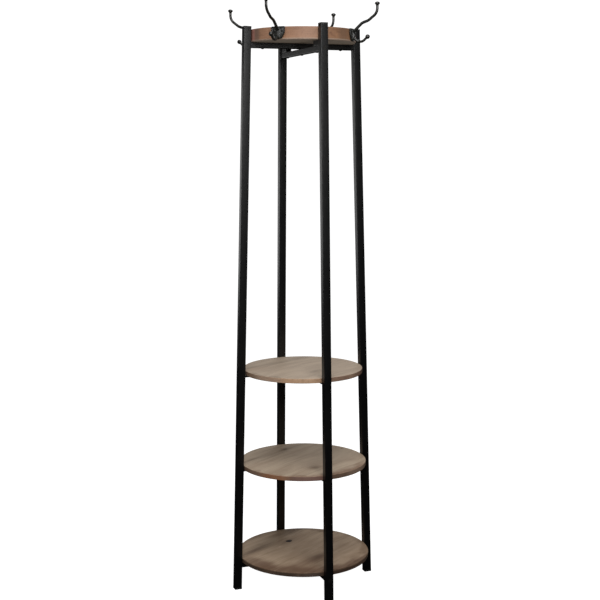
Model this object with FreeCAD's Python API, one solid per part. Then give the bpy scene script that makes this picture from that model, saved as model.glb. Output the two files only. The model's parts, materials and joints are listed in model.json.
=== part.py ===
import FreeCAD, Part
import math
import os

from FreeCAD import Vector

# Round hall tree: four splayed square-tube legs carry three round shelves and a thick top disc,
# and four double coat hooks are screwed to the rim of the disc.
# Millimetres, +Z up. The origin is on the floor, in the middle of the four feet.
# Legs stand on the X and Y axes, hooks on the diagonals between them.

# ---- driving dimensions -------------------------------------------------------------------------

HEIGHT = 1670.0                 # floor to the top of the leg caps
FOOT_RADIUS = 213.5             # leg centreline from the axis, at the floor
TOP_RADIUS = 168.0              # the same at the top of the legs
TUBE = 22.0                     # side of the square leg tube
WALL = 1.5                      # wall of every tube
TUBE_CORNER = 1.8               # outer corner radius of the leg tube
BAR = 16.0                      # side of the square crossbar tube
BAR_CORNER = 1.5
INSIDE_CORNER = 0.5             # corner radius inside every tube

CAP_HEIGHT = 4.0                # visible part of the cap on top of a leg
CAP_OVERHANG = 0.3              # cap and foot stand proud of the tube by this much on each side
GLIDE_HEIGHT = 6.0              # visible part of the glide under a leg
INSERT_DEPTH = 14.0             # part of a cap or glide inside the tube
INSERT_WALL = 2.0
INSERT_CORNER = 0.8             # corner radius of whatever is pushed into a tube
INSERT_GAP = 0.1                # room between it and the tube
EDGE_ROUND = 1.2                # rounding on caps and glides

SHELF_THICKNESS = 14.0
SHELVES = (                     # name, height of the upper face, radius
    ("shelf_lower", 96.0, 199.5),
    ("shelf_middle", 382.0, 191.0),
    ("shelf_upper", 668.0, 179.5),
)
SHELF_EASE = 1.5                # easing of the shelf edges

DISC_TOP = 1661.0
DISC_THICKNESS = 36.0
DISC_RADIUS = 156.9
DISC_EASE_TOP = 1.5
DISC_EASE_BOTTOM = 3.0

RISER_LENGTH = 45.0             # short tubes between the lower top bar and the disc

TAB_WIDTH = 20.0                # steel tabs under the middle and upper shelves
TAB_THICKNESS = 3.0
TAB_REACH = 30.0
TAB_CORNER = 6.0

BOLT_DIAMETER = 6.0             # countersunk bolts that hold the bars between the legs
BOLT_HEAD = 11.0
BOLT_HEAD_HEIGHT = 2.6
BOLT_HEAD_LAND = 0.3            # straight edge of the countersunk head
BOLT_LENGTH = 35.0
BOLT_SOCKET = 4.0               # across the flats of the hexagon socket
BOLT_SOCKET_DEPTH = 2.0
NUT_BLOCK_LENGTH = 14.0         # threaded block inside each bolted bar end
NUT_BLOCK_GAP = 0.5             # between the block and the leg
THREAD_GAP = 0.05               # between a bolt and the thread of its block

SCREW_DIAMETER = 4.0            # wood screws
SCREW_HEAD = 10.0
SCREW_HEAD_HEIGHT = 2.8
SCREW_TIP = 4.0
CROSS_LENGTH = 0.6              # cross recess of a screw, as shares of the head's diameter
CROSS_WIDTH = 0.1
CLEARANCE = 0.25                # all round a screw or bolt in steel
TOP_SCREW_RADIUS = 121.0        # wood screws in the disc, from the axis
BOTTOM_SCREW_RADIUS = 130.0
BITE_DISC = 20.0                # depth of a screw in the disc
BITE_SHELF = 9.0                # depth of a screw in a shelf

HOOK_RIM_GAP = 0.1              # back of the hook plate from the rim
PLATE_WIDTH = 42.0
PLATE_HEIGHT = 36.0
PLATE_THICKNESS = 3.0
PLATE_TOP_ABOVE_DISC = 0.5
PLATE_WAIST = (20.5, 16.0)      # half width where the sides turn inward, and how far below the top
PLATE_FLANK = (11.5, 33.0)      # the same at the foot of the flanks
PLATE_ROUNDS = (3.0, 12.0, 6.0, 12.0)   # corner radii: top, waist, flank, middle of the foot
PLATE_BORDER = 2.2              # width of the raised border round the plate
PLATE_BORDER_HEIGHT = 1.3
BOSS_DIAMETER = 12.0            # raised boss of the plate behind the prongs
BOSS_HEIGHT = 2.4
PRONG_DIAMETER = 8.0
UPPER_PRONG = (                 # out from the back of the plate, up from its top, bend radius
    (1.0, -8.0, 0.0),
    (6.0, -8.0, 5.0),
    (31.0, 14.8, 26.0),
    (50.0, 21.0, 24.0),
    (77.0, 41.0, 26.0),
    (77.0, 59.0, 0.0),
)
LOWER_PRONG = (
    (1.0, -29.0, 0.0),
    (9.0, -29.0, 6.0),
    (19.0, -37.2, 12.0),
    (33.0, -37.2, 18.0),
    (48.0, -24.0, 0.0),
)
KNOB_DIAMETER = 15.0
KNOB_HEIGHT = 13.0
KNOB_RIM_HEIGHT = 7.0           # widest level of the knob
KNOB_FLARE = (5.0, 3.8)         # radius and height half way up its hollow side
BALL_DIAMETER = 13.0
HOOK_SCREW_DIAMETER = 3.5
HOOK_SCREW_HEAD = 7.0
HOOK_SCREW_HEAD_HEIGHT = 2.0
HOOK_SCREW_BITE = 22.0
HOOK_SCREW_SIDE = 12.0          # hook screws from the middle of the plate
HOOK_SCREW_DROP = 12.5          # hook screws below the top of the plate

LEG_SIDES = (("right", 0), ("back", 90), ("left", 180), ("front", 270))
HOOK_CORNERS = (("back_right", 45), ("back_left", 135), ("front_left", 225), ("front_right", 315))

# ---- derived dimensions -------------------------------------------------------------------------

DISC_BOTTOM = DISC_TOP - DISC_THICKNESS
UPPER_BAR_BOTTOM = DISC_BOTTOM - BAR                  # left-right bar, right under the disc
LOWER_BAR_BOTTOM = UPPER_BAR_BOTTOM - BAR             # front-back bar, crossing under the other
BASE_BAR_BOTTOM = SHELVES[0][1] - SHELF_THICKNESS - BAR
LEAN = math.degrees(math.atan((FOOT_RADIUS - TOP_RADIUS) / HEIGHT))
LEG_LENGTH = HEIGHT / math.cos(math.radians(LEAN))
TUBE_INSIDE = TUBE - 2 * WALL
BAR_INSIDE = BAR - 2 * WALL
PLATE_TOP = DISC_TOP + PLATE_TOP_ABOVE_DISC
PLATE_BACK = DISC_RADIUS + HOOK_RIM_GAP
PLATE_FACE = PLATE_BACK + PLATE_THICKNESS
UPPER_TANG_LEVEL = PLATE_TOP + UPPER_PRONG[0][1]      # where the prongs enter the plate
LOWER_TANG_LEVEL = PLATE_TOP + LOWER_PRONG[0][1]

Z = Vector(0, 0, 1)
ORIGIN = Vector(0, 0, 0)


# ---- helpers ------------------------------------------------------------------------------------

def rounded_edges(points, radii, closed):
    """Straight edges between the points, with a tangent arc of the given radius at each corner."""
    count = len(points)
    starts = []
    ends = []
    arcs = []
    for i in range(count):
        here = points[i]
        if not closed and i in (0, count - 1):
            starts.append(here)
            ends.append(here)
            arcs.append(None)
            continue
        before = (points[i - 1] - here).normalize()
        after = (points[(i + 1) % count] - here).normalize()
        half = before.getAngle(after) / 2
        setback = radii[i] / math.tan(half)
        middle = (before + after).normalize()
        centre = here + middle * (radii[i] / math.sin(half))
        start = here + before * setback
        end = here + after * setback
        starts.append(start)
        ends.append(end)
        arcs.append(Part.Arc(start, centre - middle * radii[i], end).toShape())
    edges = []
    for i in range(count):
        if arcs[i] is not None:
            edges.append(arcs[i])
        following = (i + 1) % count
        if following == 0 and not closed:
            break
        if (starts[following] - ends[i]).Length > 1e-6:
            edges.append(Part.LineSegment(ends[i], starts[following]).toShape())
    return edges


def rounded_face(points, radii):
    return Part.Face(Part.Wire(rounded_edges(points, radii, True)))


def square_prism(side, corner, length):
    """Square bar with rounded long edges, standing on z = 0 about the Z axis."""
    h = side / 2
    points = [Vector(h, h, 0), Vector(-h, h, 0), Vector(-h, -h, 0), Vector(h, -h, 0)]
    return rounded_face(points, [corner] * 4).extrude(Z * length)


def square_tube(side, corner, length):
    inside = square_prism(side - 2 * WALL, INSIDE_CORNER, length)
    return square_prism(side, corner, length).cut(inside)


def cylinder(diameter, length, base, direction=Z):
    return Part.makeCylinder(diameter / 2, length, base, direction)


def revolved(profile, axis_point=ORIGIN, axis=Z):
    """Solid of revolution of a closed outline given by its corner points."""
    face = Part.Face(Part.makePolygon(profile + [profile[0]]))
    return face.revolve(axis_point, axis, 360)


def turned(shape, angle):
    """Copy of a shape turned about the Z axis of the hall tree."""
    copy = shape.copy()
    copy.rotate(ORIGIN, Z, angle)
    return copy


def leaned(shape):
    """Copy of a shape built about the Z axis, moved onto the centreline of the right-hand leg."""
    copy = shape.copy()
    copy.rotate(ORIGIN, Vector(0, 1, 0), -LEAN)
    copy.translate(Vector(FOOT_RADIUS, 0, 0))
    return copy


def export(shape, name):
    shape.exportStep(os.path.join("parts", name + ".step"))


# ---- fasteners ----------------------------------------------------------------------------------

def wood_screw(diameter, head, head_height, grip, bite):
    """Domed screw pointing up +Z: the underside of its head is at z = 0 and it bites above grip."""
    radius = diameter / 2
    length = grip + bite
    shank = revolved([
        Vector(0, 0, 0),
        Vector(radius, 0, 0),
        Vector(radius, 0, length - SCREW_TIP),
        Vector(0, 0, length),
    ])
    sphere_radius = ((head / 2) ** 2 + head_height ** 2) / (2 * head_height)
    dome = Part.makeSphere(sphere_radius, Vector(0, 0, sphere_radius - head_height))
    dome = dome.common(cylinder(head, head_height, Vector(0, 0, -head_height)))
    slot = head * CROSS_LENGTH
    blade = head * CROSS_WIDTH
    cross = Part.makeBox(slot, blade, head_height, Vector(-slot / 2, -blade / 2, -1.5 * head_height))
    dome = dome.cut(cross).cut(turned(cross, 90))
    return shank.fuse(dome).removeSplitter()


def bolt_face(height):
    """Where the head of a bolt ends: flush with the outer face of the right-hand leg."""
    lean = math.radians(LEAN)
    return leg_centre(height) + TUBE / 2 / math.cos(lean) - math.tan(lean) * BOLT_HEAD / 2


def bolt_body(height, end, clearance):
    """Countersunk body lying along X through the right-hand leg, with its head running out to end."""
    face = bolt_face(height)
    shank = height + BOLT_DIAMETER / 2 + clearance
    head = height + BOLT_HEAD / 2 + clearance
    outline = [
        Vector(face - BOLT_LENGTH, 0, height),
        Vector(face - BOLT_LENGTH, 0, shank),
        Vector(face - BOLT_HEAD_HEIGHT, 0, shank),
        Vector(face - BOLT_HEAD_LAND, 0, head),
        Vector(end, 0, head),
        Vector(end, 0, height),
    ]
    return revolved(outline, Vector(0, 0, height), Vector(1, 0, 0))


def frame_bolt(height):
    face = bolt_face(height)
    corner = BOLT_SOCKET / math.sqrt(3)
    points = []
    for i in range(6):
        angle = math.radians(60 * i)
        offset = Vector(0, corner * math.cos(angle), corner * math.sin(angle))
        points.append(Vector(face - BOLT_SOCKET_DEPTH, 0, height) + offset)
    socket = Part.Face(Part.makePolygon(points + [points[0]])).extrude(Vector(BOLT_SOCKET_DEPTH, 0, 0))
    return bolt_body(height, face, 0).cut(socket)


def bolt_hole(height):
    """Space to cut from the leg for a bolt."""
    return bolt_body(height, bolt_face(height) + BOLT_HEAD_HEIGHT, CLEARANCE)


# ---- legs ---------------------------------------------------------------------------------------

def leg_centre(height):
    """Radius of the leg centreline at a height."""
    return FOOT_RADIUS + (TOP_RADIUS - FOOT_RADIUS) * height / HEIGHT


def bolt_levels(side):
    """Heights of the two bolts of a leg: into the top bar and into the bottom bar."""
    top = UPPER_BAR_BOTTOM if side in ("left", "right") else LOWER_BAR_BOTTOM
    return (top + BAR / 2, BASE_BAR_BOTTOM + BAR / 2)


def leg_envelope():
    """Full block of the right-hand leg, to trim what butts against its faces."""
    return leaned(square_prism(TUBE, TUBE_CORNER, LEG_LENGTH))


def leg_tube(side):
    length = LEG_LENGTH - CAP_HEIGHT - GLIDE_HEIGHT
    tube = square_tube(TUBE, TUBE_CORNER, length)
    tube.translate(Z * GLIDE_HEIGHT)
    tube = leaned(tube)
    for height in bolt_levels(side):
        tube = tube.cut(bolt_hole(height))
    return tube


def insert_plug():
    """The part of a cap or a glide that is pushed into the tube, below z = 0."""
    side = TUBE_INSIDE - 2 * INSERT_GAP
    plug = square_prism(side, INSERT_CORNER, INSERT_DEPTH)
    hollow = square_prism(side - 2 * INSERT_WALL, INSERT_CORNER, INSERT_DEPTH)
    plug = plug.cut(hollow)
    plug.translate(Z * -INSERT_DEPTH)
    return plug


def capped_block(height):
    """Square block a little wider than the tube, on z = 0, with its upper edges rounded."""
    block = square_prism(TUBE + 2 * CAP_OVERHANG, TUBE_CORNER + CAP_OVERHANG, height)
    upper = [edge for edge in block.Edges if edge.BoundBox.ZMin > height - 1e-3]
    return block.makeFillet(EDGE_ROUND, upper)


def leg_cap():
    cap = capped_block(CAP_HEIGHT).fuse(insert_plug()).removeSplitter()
    cap.translate(Z * (LEG_LENGTH - CAP_HEIGHT))
    return leaned(cap)


def foot_glide():
    """Glide under a leg: made a little too long, then cut level with the floor."""
    glide = capped_block(GLIDE_HEIGHT).fuse(insert_plug()).removeSplitter()
    glide.rotate(ORIGIN, Vector(1, 0, 0), 180)
    glide.translate(Z * GLIDE_HEIGHT)
    glide = leaned(glide)
    glide.translate(Z * -foot_drop())
    floor = Part.makeBox(4 * TUBE, 4 * TUBE, TUBE, Vector(FOOT_RADIUS - 2 * TUBE, -2 * TUBE, -TUBE))
    above = glide.cut(floor)
    return above.cut(leg_tube_space())


def foot_drop():
    """How far the leaning glide is lowered so that its whole underside is cut by the floor."""
    return math.sin(math.radians(LEAN)) * (TUBE / 2 + CAP_OVERHANG)


def leg_tube_space():
    """The leg tube without its holes, which the lowered glide gives way to."""
    tube = square_tube(TUBE, TUBE_CORNER, LEG_LENGTH - GLIDE_HEIGHT)
    tube.translate(Z * GLIDE_HEIGHT)
    return leaned(tube)


# ---- crossbars ----------------------------------------------------------------------------------

def bar_along_x(start, end, bottom):
    """Square tube lying along X, trimmed to the faces of the legs that it reaches."""
    bar = square_tube(BAR, BAR_CORNER, end - start)
    bar.rotate(ORIGIN, Vector(0, 1, 0), 90)
    bar.translate(Vector(start, 0, bottom + BAR / 2))
    leg = leg_envelope()
    return bar.cut(leg).cut(turned(leg, 180))


def drilled(bar, positions, bottom, diameter):
    """Bar with upright holes right through it at the given places along X."""
    for x in positions:
        bar = bar.cut(cylinder(diameter, 3 * BAR, Vector(x, 0, bottom - BAR)))
    return bar


def through_bar(bottom, positions):
    """Bar from leg to leg: it starts on the centrelines and is trimmed to the faces of the legs."""
    length = leg_centre(bottom)
    bar = bar_along_x(-length, length, bottom)
    return drilled(bar, positions, bottom, SCREW_DIAMETER + 2 * CLEARANCE)


def half_bar(bottom, positions):
    """Bar from the side of the through bar to the right-hand leg."""
    bar = bar_along_x(BAR / 2, leg_centre(bottom), bottom)
    return drilled(bar, positions, bottom, SCREW_DIAMETER + 2 * CLEARANCE)


def riser():
    """Short tube on the lower top bar that fills the gap up to the disc, against the leg."""
    outer = leg_centre(DISC_BOTTOM)
    bar = bar_along_x(outer - TUBE / 2 - RISER_LENGTH, outer, UPPER_BAR_BOTTOM)
    return drilled(bar, [TOP_SCREW_RADIUS], UPPER_BAR_BOTTOM, SCREW_DIAMETER + 2 * CLEARANCE)


def nut_block(height):
    """Threaded block inside the end of a bar at the right-hand leg."""
    start = leg_centre(height) - TUBE / 2 - NUT_BLOCK_GAP - NUT_BLOCK_LENGTH
    block = square_prism(BAR_INSIDE - 2 * INSERT_GAP, INSERT_CORNER, NUT_BLOCK_LENGTH)
    block = block.cut(cylinder(BOLT_DIAMETER + 2 * THREAD_GAP, NUT_BLOCK_LENGTH, ORIGIN))
    block.rotate(ORIGIN, Vector(0, 1, 0), 90)
    block.translate(Vector(start, 0, height))
    return block


# ---- wood ---------------------------------------------------------------------------------------

def round_board(radius, top, thickness, ease_top, ease_bottom):
    board = cylinder(2 * radius, thickness, Z * (top - thickness))
    rims = [edge for edge in board.Edges if len(edge.Vertexes) == 1]
    upper = [edge for edge in rims if edge.BoundBox.ZMin > top - 1e-3]
    lower = [edge for edge in rims if edge.BoundBox.ZMax < top - thickness + 1e-3]
    return board.makeFillet(ease_top, upper).makeFillet(ease_bottom, lower)


def with_pilot_holes(board, screws):
    for screw in screws:
        board = board.cut(screw)
    return board


def tab(shelf_bottom):
    """Flat steel tab on the inner face of the right-hand leg, under a shelf."""
    outer = leg_centre(shelf_bottom)
    inner = outer - TUBE / 2 - TAB_REACH
    h = TAB_WIDTH / 2
    points = [Vector(outer, h, 0), Vector(inner, h, 0), Vector(inner, -h, 0), Vector(outer, -h, 0)]
    plate = rounded_face(points, [TAB_CORNER] * 4).extrude(Z * TAB_THICKNESS)
    plate.translate(Z * (shelf_bottom - TAB_THICKNESS))
    hole = cylinder(SCREW_DIAMETER + 2 * CLEARANCE, 3 * TAB_THICKNESS,
                    Vector(tab_screw_radius(shelf_bottom), 0, shelf_bottom - 2 * TAB_THICKNESS))
    return plate.cut(leg_envelope()).cut(hole)


def tab_screw_radius(shelf_bottom):
    return leg_centre(shelf_bottom) - TUBE / 2 - TAB_REACH * 0.6


# ---- hooks --------------------------------------------------------------------------------------

def plate_outline(inset):
    """Shield outline of a hook plate in the YZ plane: straight top, sides closing to a round foot."""
    top = PLATE_TOP - inset
    half = PLATE_WIDTH / 2 - inset
    waist = PLATE_WAIST[0] - inset
    waist_level = PLATE_TOP - PLATE_WAIST[1]
    flank = PLATE_FLANK[0] - inset / 2
    flank_level = PLATE_TOP - PLATE_FLANK[1] + inset
    top_round, waist_round, flank_round, foot_round = PLATE_ROUNDS
    top_round -= inset
    points = [
        Vector(0, -half, top),
        Vector(0, half, top),
        Vector(0, waist, waist_level),
        Vector(0, flank, flank_level),
        Vector(0, 0, PLATE_TOP - PLATE_HEIGHT + inset),
        Vector(0, -flank, flank_level),
        Vector(0, -waist, waist_level),
    ]
    radii = [top_round, top_round, waist_round, flank_round, foot_round, flank_round, waist_round]
    return rounded_face(points, radii)


def boss():
    """Upright rib on the face of the plate, round at both ends, that carries the prongs."""
    outward = Vector(1, 0, 0)
    upper = cylinder(BOSS_DIAMETER, BOSS_HEIGHT, Vector(PLATE_FACE, 0, UPPER_TANG_LEVEL), outward)
    lower = cylinder(BOSS_DIAMETER, BOSS_HEIGHT, Vector(PLATE_FACE, 0, LOWER_TANG_LEVEL), outward)
    web = Part.makeBox(BOSS_HEIGHT, BOSS_DIAMETER, UPPER_TANG_LEVEL - LOWER_TANG_LEVEL,
                       Vector(PLATE_FACE, -BOSS_DIAMETER / 2, LOWER_TANG_LEVEL))
    return [upper, lower, web]


def hook_plate(prongs):
    plate = plate_outline(0).extrude(Vector(PLATE_THICKNESS + PLATE_BORDER_HEIGHT, 0, 0))
    recess = plate_outline(PLATE_BORDER).extrude(Vector(2 * PLATE_BORDER_HEIGHT, 0, 0))
    recess.translate(Vector(PLATE_THICKNESS, 0, 0))
    plate = plate.cut(recess)
    plate.translate(Vector(PLATE_BACK, 0, 0))
    plate = plate.fuse(boss()).removeSplitter()
    for prong in prongs:
        plate = plate.cut(prong)
    hole = cylinder(HOOK_SCREW_DIAMETER + 2 * CLEARANCE, 4 * PLATE_THICKNESS,
                    Vector(PLATE_BACK - PLATE_THICKNESS, 0, PLATE_TOP - HOOK_SCREW_DROP), Vector(1, 0, 0))
    for side in (-HOOK_SCREW_SIDE, HOOK_SCREW_SIDE):
        drill = hole.copy()
        drill.translate(Vector(0, side, 0))
        plate = plate.cut(drill)
    return plate


def swept_rod(route):
    """Round rod along straight runs and tangent arcs in the XZ plane, and the place of its end."""
    points = [Vector(PLATE_BACK + out, 0, PLATE_TOP + up) for out, up, radius in route]
    radii = [radius for out, up, radius in route]
    path = Part.Wire(rounded_edges(points, radii, False))
    direction = points[1] - points[0]
    circle = Part.Wire(Part.Circle(points[0], direction, PRONG_DIAMETER / 2).toShape())
    return path.makePipeShell([circle], True, False), points[-1]


def knob():
    """Knob standing on z = 0: hollow sides that flare out to a rim, under a domed top."""
    neck = PRONG_DIAMETER / 2
    rim = KNOB_DIAMETER / 2
    rise = KNOB_HEIGHT - KNOB_RIM_HEIGHT
    dome_radius = (rim ** 2 + rise ** 2) / (2 * rise)
    half_angle = math.asin(rim / dome_radius) / 2
    shoulder = Vector(dome_radius * math.sin(half_angle), 0,
                      KNOB_HEIGHT - dome_radius * (1 - math.cos(half_angle)))
    profile = Part.Wire([
        Part.LineSegment(ORIGIN, Vector(neck, 0, 0)).toShape(),
        Part.Arc(Vector(neck, 0, 0), Vector(KNOB_FLARE[0], 0, KNOB_FLARE[1]),
                 Vector(rim, 0, KNOB_RIM_HEIGHT)).toShape(),
        Part.Arc(Vector(rim, 0, KNOB_RIM_HEIGHT), shoulder, Vector(0, 0, KNOB_HEIGHT)).toShape(),
        Part.LineSegment(Vector(0, 0, KNOB_HEIGHT), ORIGIN).toShape(),
    ])
    return Part.Face(profile).revolve(ORIGIN, Z, 360)


def upper_prong():
    """Hat prong: out of the boss, up in an S, ending in a knob."""
    rod, tip = swept_rod(UPPER_PRONG)
    end = knob()
    end.translate(tip)
    return rod.fuse(end)


def lower_prong():
    """Coat prong: out of the foot of the boss, round and up, ending in a ball."""
    rod, tip = swept_rod(LOWER_PRONG)
    return rod.fuse(Part.makeSphere(BALL_DIAMETER / 2, tip))


def hook_screws():
    """The two screws of the hook that stands at the right, pointing at the axis."""
    screw = wood_screw(HOOK_SCREW_DIAMETER, HOOK_SCREW_HEAD, HOOK_SCREW_HEAD_HEIGHT,
                       PLATE_THICKNESS + HOOK_RIM_GAP, HOOK_SCREW_BITE)
    screw.rotate(ORIGIN, Vector(0, 1, 0), -90)
    pair = []
    for side in (-HOOK_SCREW_SIDE, HOOK_SCREW_SIDE):
        copy = screw.copy()
        copy.translate(Vector(PLATE_FACE, side, PLATE_TOP - HOOK_SCREW_DROP))
        pair.append(copy)
    return pair


# ---- assembly -----------------------------------------------------------------------------------

def standing_screw(grip, bite, radius, angle, head_level):
    screw = wood_screw(SCREW_DIAMETER, SCREW_HEAD, SCREW_HEAD_HEIGHT, grip, bite)
    screw.translate(Vector(radius, 0, head_level))
    return turned(screw, angle)


def build_legs():
    cap = leg_cap()
    glide = foot_glide()
    for side, angle in LEG_SIDES:
        export(turned(leg_tube(side), angle), "leg_" + side)
        export(turned(cap, angle), "leg_cap_" + side)
        export(turned(glide, angle), "foot_glide_" + side)


def build_bars():
    screw_places = [-TOP_SCREW_RADIUS, 0, TOP_SCREW_RADIUS]
    export(through_bar(UPPER_BAR_BOTTOM, screw_places), "top_bar_left_right")
    export(turned(through_bar(LOWER_BAR_BOTTOM, screw_places), 90), "top_bar_front_back")
    export(turned(riser(), 90), "top_riser_back")
    export(turned(riser(), 270), "top_riser_front")

    base_places = [-BOTTOM_SCREW_RADIUS, BOTTOM_SCREW_RADIUS]
    export(through_bar(BASE_BAR_BOTTOM, base_places), "base_bar_left_right")
    half = half_bar(BASE_BAR_BOTTOM, [BOTTOM_SCREW_RADIUS])
    export(turned(half, 90), "base_bar_back")
    export(turned(half, 270), "base_bar_front")


def build_bolts():
    bolts = []
    blocks = []
    for side, angle in LEG_SIDES:
        for height in bolt_levels(side):
            bolts.append(turned(frame_bolt(height), angle))
            blocks.append(turned(nut_block(height), angle))
    export(Part.makeCompound(bolts), "frame_bolts")
    export(Part.makeCompound(blocks), "bar_nut_blocks")


def build_top_disc(rim_screws):
    short = []
    long = []
    for angle in (0, 180):
        short.append(standing_screw(BAR, BITE_DISC, TOP_SCREW_RADIUS, angle, UPPER_BAR_BOTTOM))
    for radius, angle in ((TOP_SCREW_RADIUS, 90), (TOP_SCREW_RADIUS, 270), (0, 0)):
        long.append(standing_screw(2 * BAR, BITE_DISC, radius, angle, LOWER_BAR_BOTTOM))
    disc = round_board(DISC_RADIUS, DISC_TOP, DISC_THICKNESS, DISC_EASE_TOP, DISC_EASE_BOTTOM)
    export(with_pilot_holes(disc, short + long + rim_screws), "top_disc")
    export(Part.makeCompound(short), "disc_screws_short")
    export(Part.makeCompound(long), "disc_screws_long")


def build_shelves():
    for name, top, radius in SHELVES:
        bottom = top - SHELF_THICKNESS
        board = round_board(radius, top, SHELF_THICKNESS, SHELF_EASE, SHELF_EASE)
        screws = []
        on_bars = name == SHELVES[0][0]
        for side, angle in LEG_SIDES:
            if on_bars:
                screw = standing_screw(BAR, BITE_SHELF, BOTTOM_SCREW_RADIUS, angle, BASE_BAR_BOTTOM)
            else:
                level = bottom - TAB_THICKNESS
                screw = standing_screw(TAB_THICKNESS, BITE_SHELF, tab_screw_radius(bottom), angle, level)
                export(turned(tab(bottom), angle), name + "_tab_" + side)
            screws.append(screw)
        export(with_pilot_holes(board, screws), name)
        export(Part.makeCompound(screws), name + "_screws")


def build_hooks():
    """Writes the four hooks and returns their screws, which the disc makes room for."""
    upper = upper_prong()
    lower = lower_prong()
    plate = hook_plate([upper, lower])
    screws = []
    for corner, angle in HOOK_CORNERS:
        export(turned(plate, angle), "hook_plate_" + corner)
        export(turned(upper, angle), "hook_upper_prong_" + corner)
        export(turned(lower, angle), "hook_lower_prong_" + corner)
        screws += [turned(screw, angle) for screw in hook_screws()]
    export(Part.makeCompound(screws), "hook_screws")
    return screws


os.makedirs("parts", exist_ok=True)
build_legs()
build_bars()
build_bolts()
build_shelves()
build_top_disc(build_hooks())
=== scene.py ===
import json
import math
from itertools import accumulate
from types import SimpleNamespace

import bmesh
import bpy
from mathutils import Matrix, Vector, noise


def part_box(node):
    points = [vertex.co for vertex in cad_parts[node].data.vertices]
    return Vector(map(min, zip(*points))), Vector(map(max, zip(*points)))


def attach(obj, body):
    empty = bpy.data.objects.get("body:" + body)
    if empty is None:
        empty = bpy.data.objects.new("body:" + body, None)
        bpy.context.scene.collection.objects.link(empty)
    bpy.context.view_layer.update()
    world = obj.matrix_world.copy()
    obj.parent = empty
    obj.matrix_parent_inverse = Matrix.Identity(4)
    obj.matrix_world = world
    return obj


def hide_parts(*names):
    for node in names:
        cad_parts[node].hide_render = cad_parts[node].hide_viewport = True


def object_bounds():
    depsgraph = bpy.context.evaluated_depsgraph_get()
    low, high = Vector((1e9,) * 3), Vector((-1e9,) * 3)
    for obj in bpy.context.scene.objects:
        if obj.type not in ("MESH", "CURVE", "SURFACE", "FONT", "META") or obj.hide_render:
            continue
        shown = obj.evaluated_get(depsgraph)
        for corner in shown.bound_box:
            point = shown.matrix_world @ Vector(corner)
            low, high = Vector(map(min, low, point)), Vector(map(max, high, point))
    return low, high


# Round hall tree. Metres, +Z up, the front leg on -Y, the hooks on the diagonals.

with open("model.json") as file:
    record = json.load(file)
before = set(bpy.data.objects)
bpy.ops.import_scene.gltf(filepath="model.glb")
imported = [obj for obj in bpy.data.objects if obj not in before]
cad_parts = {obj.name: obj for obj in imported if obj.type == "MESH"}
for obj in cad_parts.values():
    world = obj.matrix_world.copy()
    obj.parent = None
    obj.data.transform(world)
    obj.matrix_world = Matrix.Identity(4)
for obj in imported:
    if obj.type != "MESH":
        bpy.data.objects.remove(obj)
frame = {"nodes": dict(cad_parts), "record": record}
cad_low, cad_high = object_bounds()
AXIS = (cad_low + cad_high) / 2            # the upright axis runs through the middle of the box
FLOOR = cad_low.z

# ---- sizes --------------------------------------------------------------------------------------

MM = 0.001
SHELVES = ("shelf_upper", "shelf_middle", "shelf_lower")
HOOKS = ("back_right", "back_left", "front_left", "front_right")

TUBE_HALF = 11 * MM                        # leg tube, from its centreline to a face
GLIDE_OVERHANG = 0.26 * MM                 # how far a glide reaches past the tube on its outer side
FOOT_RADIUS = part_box("foot_glide_right")[1].x - TUBE_HALF - GLIDE_OVERHANG
LEG_SLOPE = 45.5 / 1670                    # inward lean of a leg
EDGE_START = 20.4 * MM                     # sum of the two offsets where a tube's corner begins
EDGE_END = 20.9 * MM
FACE_CROWN = 2.2                           # fall of a face towards its corners, per metre: 0.27 mm

PLATE_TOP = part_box("hook_plate_front_left")[1].z
PLATE_GAP = 0.1 * MM                       # between a hook plate and the rim behind it
PLATE_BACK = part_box("top_disc")[1].x + PLATE_GAP
PLATE_THICKNESS = 3.0 * MM
PLATE_BORDER = 2.2 * MM
PLATE_BORDER_HEIGHT = 1.3 * MM
PLATE_OUTLINE = (                          # half outline: sideways, up from the top, corner radius
    (21.0, 0.0, 3.0),
    (20.5, -16.0, 12.0),
    (11.5, -33.0, 6.0),
    (0.0, -36.0, 12.0),
)
FACE_RISE = 1.26 * MM                      # of the plate's face, from its border to its middle
BOSS_RADIUS = 6.0 * MM
BOSS_HEIGHT = 2.4 * MM
UPPER_PRONG = (                            # out from the plate's back, up from its top, bend radius
    (1.0, -8.0, 0.0),
    (6.0, -8.0, 5.0),
    (31.0, 14.8, 26.0),
    (50.0, 21.0, 24.0),
    (77.0, 41.0, 26.0),
    (77.0, 59.0, 0.0),
)
LOWER_PRONG = (
    (1.0, -29.0, 0.0),
    (9.0, -29.0, 6.0),
    (19.0, -37.2, 12.0),
    (33.0, -37.2, 18.0),
    (48.0, -24.0, 0.0),
)
PRONG_RADIUS = 4.0 * MM
KNOB_RADIUS = 7.5 * MM
KNOB_HEIGHT = 13.0 * MM
BALL_RADIUS = 6.5 * MM

# ---- camera -------------------------------------------------------------------------------------

CAMERA_AZIMUTH = math.radians(20.3)        # the camera stands this far left of the front leg
CAMERA_DISTANCE = 3.5055
CAMERA_HEIGHT = 1.3517
CAMERA_PITCH = math.radians(7.79)
CAMERA_ROLL = math.radians(-0.18)
CAMERA_ASIDE = -0.0079                     # shift to its right: the axis isn't quite in the picture's middle
CAMERA_LENS = 70.83
CAMERA_SENSOR = 36.0


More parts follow.
